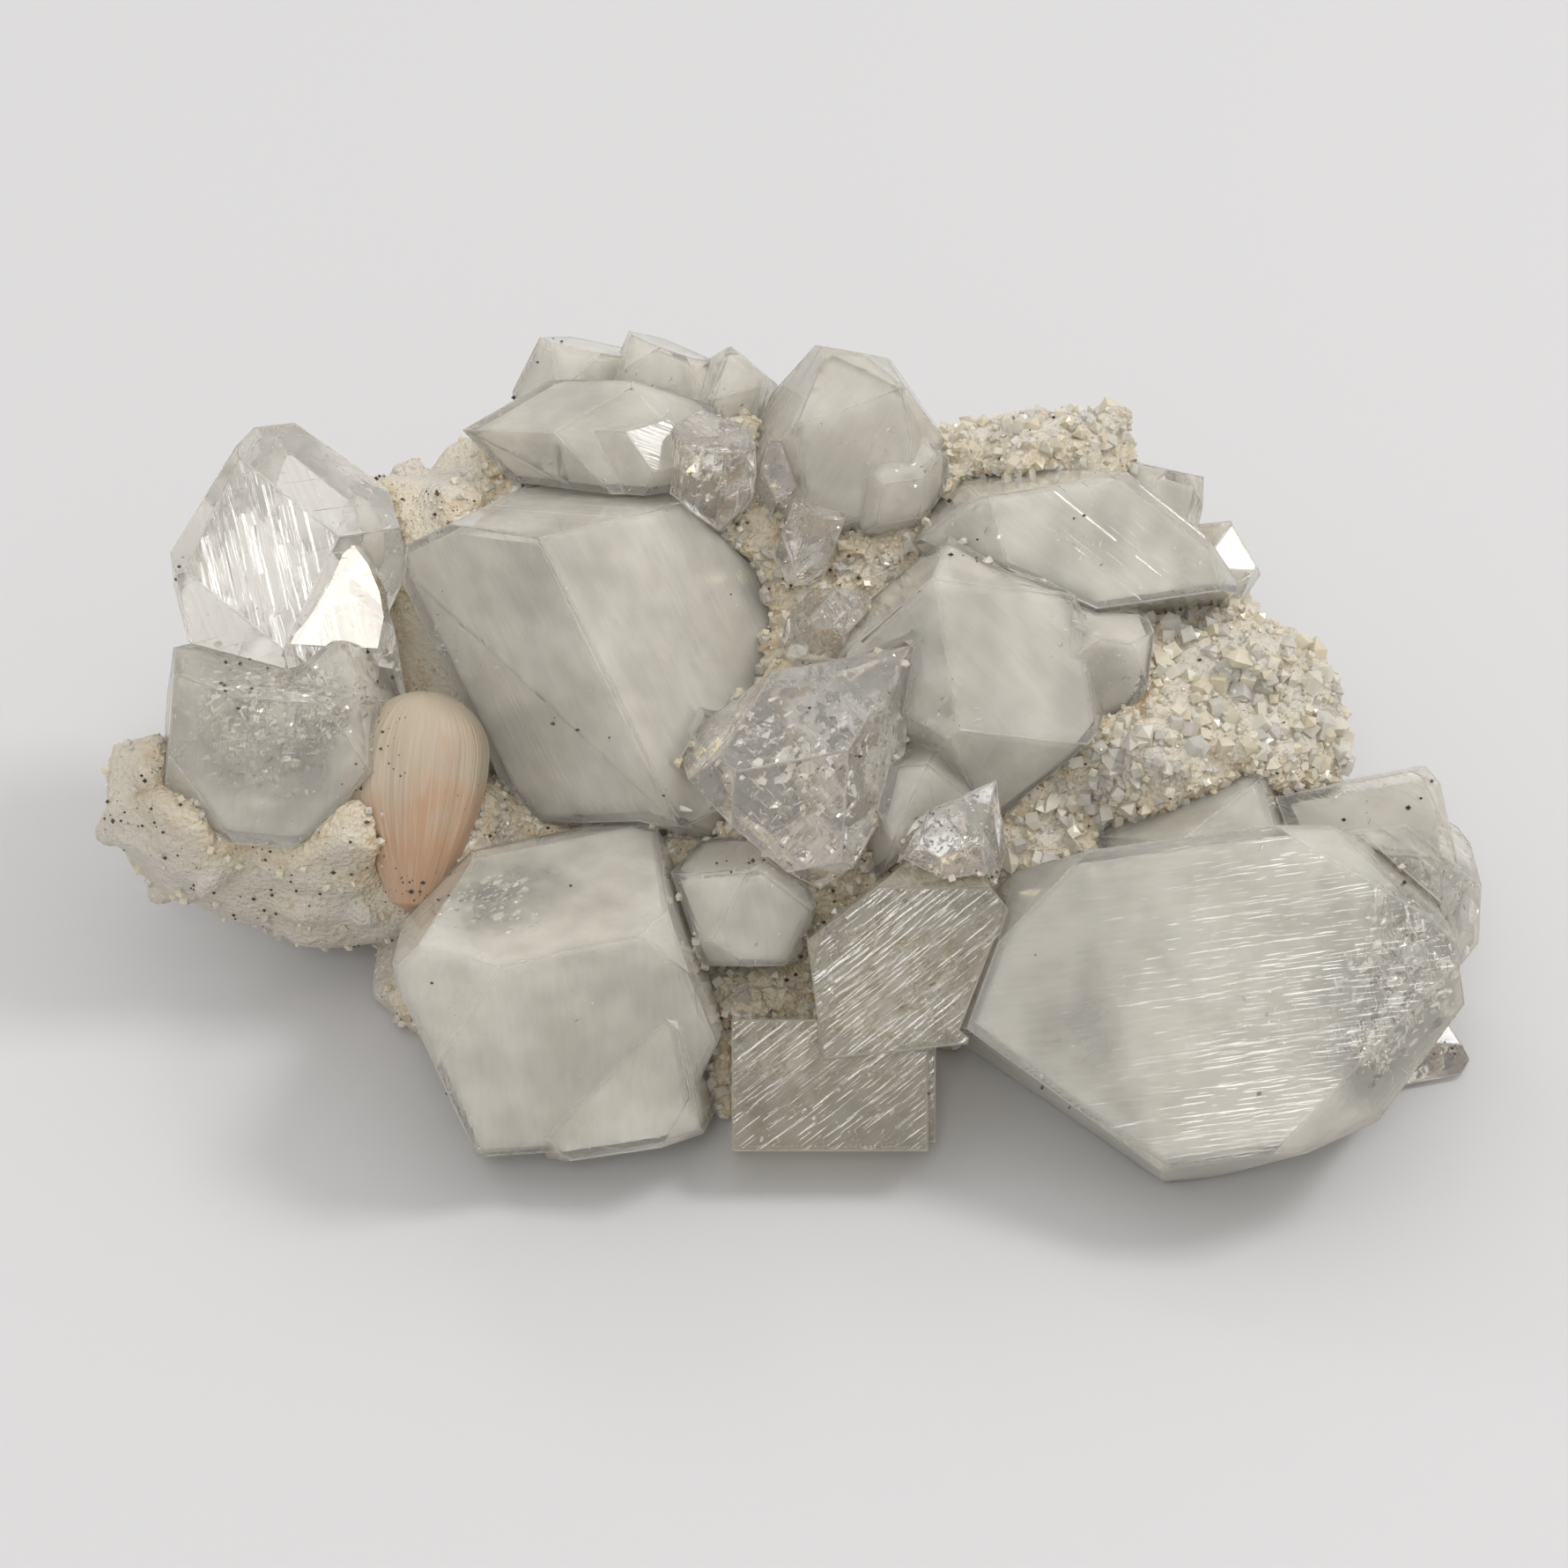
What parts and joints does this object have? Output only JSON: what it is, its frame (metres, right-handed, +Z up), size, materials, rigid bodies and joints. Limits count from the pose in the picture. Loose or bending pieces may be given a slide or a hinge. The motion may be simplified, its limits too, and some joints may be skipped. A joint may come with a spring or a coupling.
{
  "type": "apophyllite cluster with stilbite on matrix",
  "caption": "Mineral cluster: clear to milky blocky tetragonal apophyllite crystals and a peach stilbite sheaf on a druzy matrix with a flat base.",
  "frame": {"origin": "middle of the cluster's plan on the plane that it rests on", "axes": "+Z up; +X along the cluster's length, to the viewer's right; the face with the large crystals looks towards -Y and up"},
  "size_m": [0.095, 0.0646, 0.0367],
  "materials": {
    "apophyllite": "milky translucent crystal, vitreous, striated along the prism",
    "clear_apophyllite": "clear crystal with inner veils, vitreous",
    "matrix": "sugary druse over tan rock with dark specks",
    "stilbite": "silky, fibrous, peach"
  },
  "bodies": {
    "root": {"point_crystal": "clear_apophyllite", "front_left_crystal": "apophyllite", "big_crystal": "apophyllite", "upper_left_crystal": "apophyllite", "front_pair": "apophyllite", "centre_crystal": "apophyllite", "lower_left_crystal": "apophyllite", "right_top_crystal": "apophyllite", "top_crystal": "apophyllite", "right_middle_crystal": "apophyllite", "right_end_crystal": "apophyllite", "front_small_crystal": "apophyllite", "top_left_crystal": "apophyllite", "back_left_crystal": "apophyllite", "back_right_crystal": "apophyllite", "rear_crystal": "apophyllite", "rear_left_crystal": "apophyllite", "clear_crystal_1": "clear_apophyllite", "clear_crystal_2": "clear_apophyllite", "clear_crystal_3": "clear_apophyllite", "clear_crystal_4": "clear_apophyllite", "clear_crystal_5": "clear_apophyllite", "clear_crystal_6": "clear_apophyllite", "stilbite_sheaf": "stilbite", "matrix": "matrix"}
  },
  "joints": []
}
